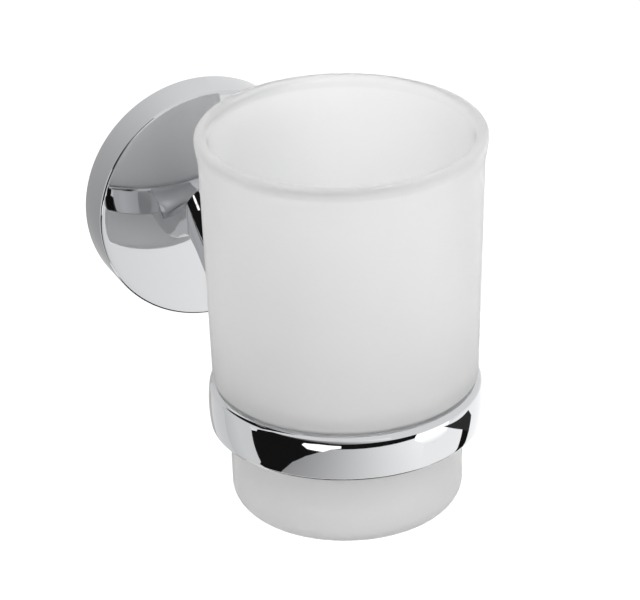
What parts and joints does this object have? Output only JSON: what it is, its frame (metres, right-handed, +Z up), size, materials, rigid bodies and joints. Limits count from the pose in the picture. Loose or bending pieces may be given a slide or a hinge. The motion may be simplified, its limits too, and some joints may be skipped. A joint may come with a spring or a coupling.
{
  "type": "tumbler holder",
  "caption": "Wall-mounted tumbler holder: round domed rose, curved arm with upright flanks, and a ring that carries a lift-out satin glass tumbler.",
  "frame": {"origin": "centre of the bracket's back face, on the wall", "axes": "+Y into the wall, +Z up, the ring reaches towards -Y"},
  "size_m": [0.068, 0.151, 0.0952],
  "materials": {
    "chrome": "bright chrome plate",
    "zinc": "bare zinc casting, satin",
    "steel": "zinc-plated steel",
    "nylon": "moulded nylon",
    "satin_glass": "satin-etched glass"
  },
  "bodies": {
    "holder": {"rose_cover": "chrome", "wall_bracket": "zinc", "wall_screw_upper": "steel", "wall_screw_lower": "steel", "wall_plug_upper": "nylon", "wall_plug_lower": "nylon", "grub_screw": "steel", "arm": "chrome", "arm_screw": "steel", "arm_washer": "steel", "locating_pin": "steel", "ring": "chrome", "ring_screw": "steel"},
    "glass": {"tumbler": "satin_glass"}
  },
  "joints": [
    {"name": "tumbler_lift", "type": "slide", "parent": "holder", "child": "glass", "axis": [0, 0, 1], "range_m": [0, 0.06]}
  ]
}
